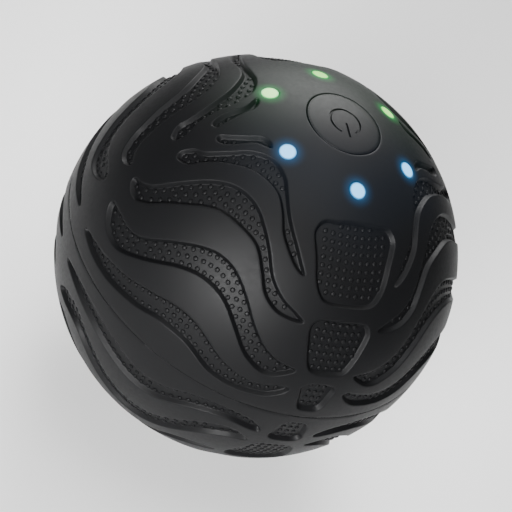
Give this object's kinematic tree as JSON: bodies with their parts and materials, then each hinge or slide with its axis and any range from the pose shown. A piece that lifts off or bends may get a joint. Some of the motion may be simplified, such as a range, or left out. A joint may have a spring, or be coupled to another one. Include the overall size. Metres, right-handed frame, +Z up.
{
  "type": "massage ball",
  "caption": "Vibrating massage ball with a recessed wave and pad tread, a round power button on top and a ring of signal lights.",
  "frame": {"origin": "centre of the small flat that the ball stands on", "axes": "+Z up through the power button, -Y to the column of square pads in front, +Y to the charging port at the back, X along the motor shaft"},
  "size_m": [0.12, 0.12, 0.1186],
  "materials": {
    "silicone_black": "matte moulded silicone",
    "button_black": "matte moulded silicone",
    "light_blue": "clear lit lens, blue",
    "light_green": "clear lit lens, green",
    "shell_grey": "moulded shell",
    "seal_red": "matte",
    "board_green": "solder resist",
    "chip_black": "moulded",
    "led_white": "moulded",
    "connector_cream": "moulded",
    "plunger_white": "moulded",
    "zinc_steel": "satin",
    "magnet_grey": "matte",
    "end_cap_cream": "moulded",
    "bronze": "sintered",
    "carbon": "matte",
    "brass": "machined",
    "copper": "enamelled wire",
    "lamination": "stacked sheets",
    "cradle_grey": "moulded",
    "clamp_steel": "satin",
    "band_rubber": "matte",
    "cell_steel": "nickel plated",
    "sleeve_blue": "shrunk film",
    "nickel": "satin",
    "foam_grey": "matte",
    "lead_red": "insulated wire",
    "lead_black": "insulated wire"
  },
  "bodies": {
    "ball": {"upper_skin": "silicone_black", "lower_skin": "silicone_black", "upper_shell": "shell_grey", "lower_shell": "shell_grey", "shell_seal": "seal_red", "blue_light_pipes": "light_blue", "green_light_pipes": "light_green", "control_board": "board_green", "blue_leds": "led_white", "green_leds": "led_white", "board_chips": "chip_black", "switch_body": "chip_black", "motor_connector": "connector_cream", "battery_connector": "connector_cream", "charge_connector": "connector_cream", "board_screws": "zinc_steel", "motor_can": "zinc_steel", "motor_end_cap": "end_cap_cream", "motor_magnets": "magnet_grey", "left_bearing": "bronze", "right_bearing": "bronze", "motor_brushes": "carbon", "motor_terminals": "brass", "motor_cradle": "cradle_grey", "motor_clamps": "clamp_steel", "motor_bands": "band_rubber", "clamp_screws": "zinc_steel", "cradle_screws": "zinc_steel", "front_cell": "cell_steel", "back_cell": "cell_steel", "cell_sleeves": "sleeve_blue", "cell_tabs": "nickel", "battery_foam": "foam_grey", "protection_board": "board_green", "protection_chips": "chip_black", "charge_board": "board_green", "charge_socket": "zinc_steel", "charge_contacts": "chip_black", "charge_chips": "chip_black", "charge_screws": "zinc_steel", "shell_screws": "zinc_steel", "motor_lead_red": "lead_red", "motor_lead_black": "lead_black", "battery_lead_red": "lead_red", "battery_lead_black": "lead_black", "charge_lead_red": "lead_red", "charge_lead_black": "lead_black"},
    "rotor": {"motor_shaft": "zinc_steel", "armature_core": "lamination", "armature_windings": "copper", "commutator": "copper", "left_weight": "brass", "right_weight": "brass", "weight_screws": "magnet_grey"},
    "button": {"power_button": "button_black"},
    "plunger": {"switch_plunger": "plunger_white"}
  },
  "joints": [
    {"name": "button_press", "type": "slide", "parent": "ball", "child": "button", "axis": [0, 0, -1], "range_m": [0, 0.0005], "stiffness_N_per_m": 900, "springref_m": -0.0004},
    {"name": "switch_press", "type": "slide", "parent": "ball", "child": "plunger", "axis": [0, 0, -1], "range_m": [0, 0.0005]},
    {"name": "motor_spin", "type": "hinge", "parent": "ball", "child": "rotor", "pos_m": [0, 0, 0.06157], "axis": [1, 0, 0], "continuous": true}
  ],
  "couplings": [
    {"joint": "switch_press", "follows": "button_press", "ratio": 1}
  ]
}
